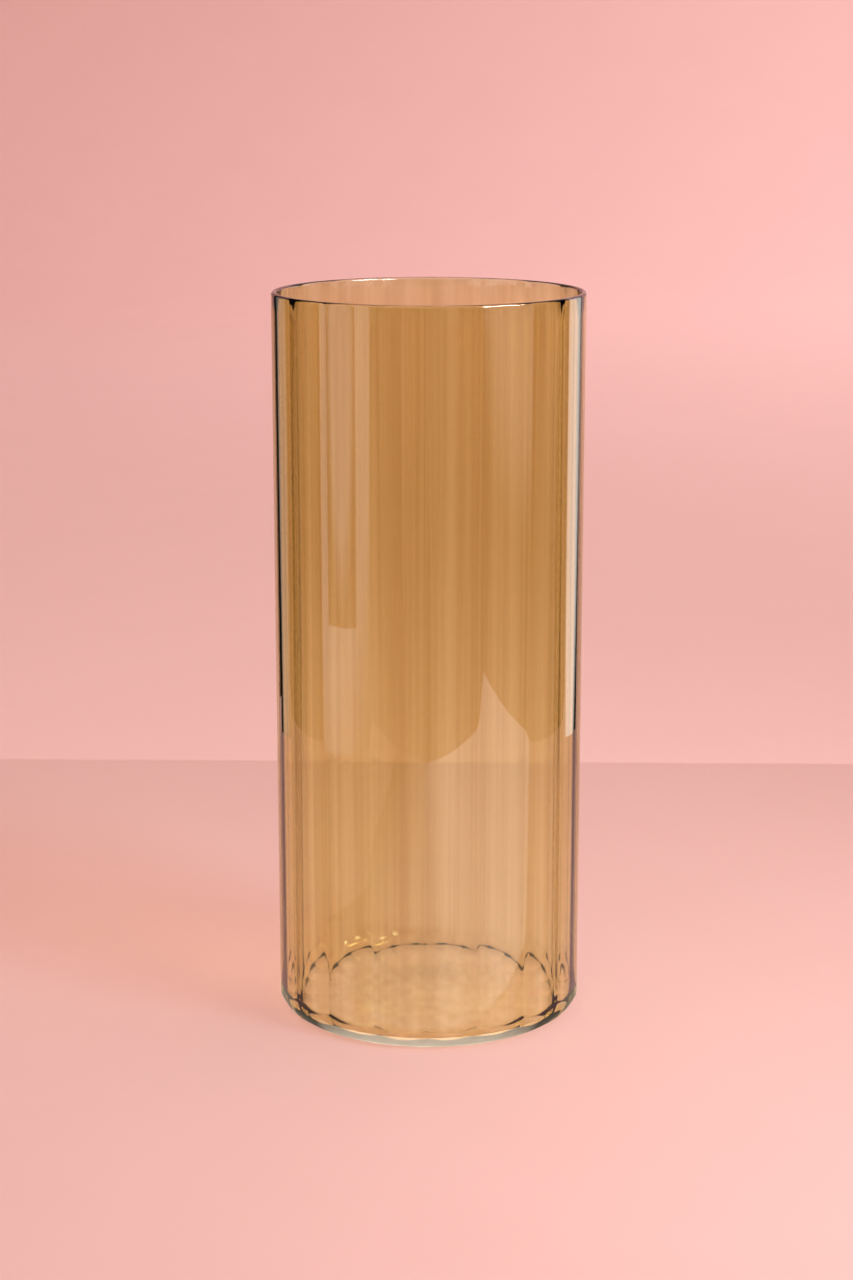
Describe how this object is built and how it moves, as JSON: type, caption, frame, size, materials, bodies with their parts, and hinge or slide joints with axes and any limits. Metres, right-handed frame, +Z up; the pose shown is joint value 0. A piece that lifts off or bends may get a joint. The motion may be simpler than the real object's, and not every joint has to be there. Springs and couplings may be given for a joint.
{
  "type": "vase",
  "caption": "Tall straight cylinder vase in clear amber glass, with vertical fluting, a rounded open lip and a flat closed base.",
  "frame": {"origin": "middle of the base, on the surface that the vase stands on", "axes": "+Z up along the vase's axis; -Y is the front, where a corner between two flutes faces"},
  "size_m": [0.1054, 0.106, 0.25],
  "materials": {
    "amber_glass": "clear, fire-polished, warm amber tint"
  },
  "bodies": {
    "root": {"vase_body": "amber_glass"}
  },
  "joints": []
}
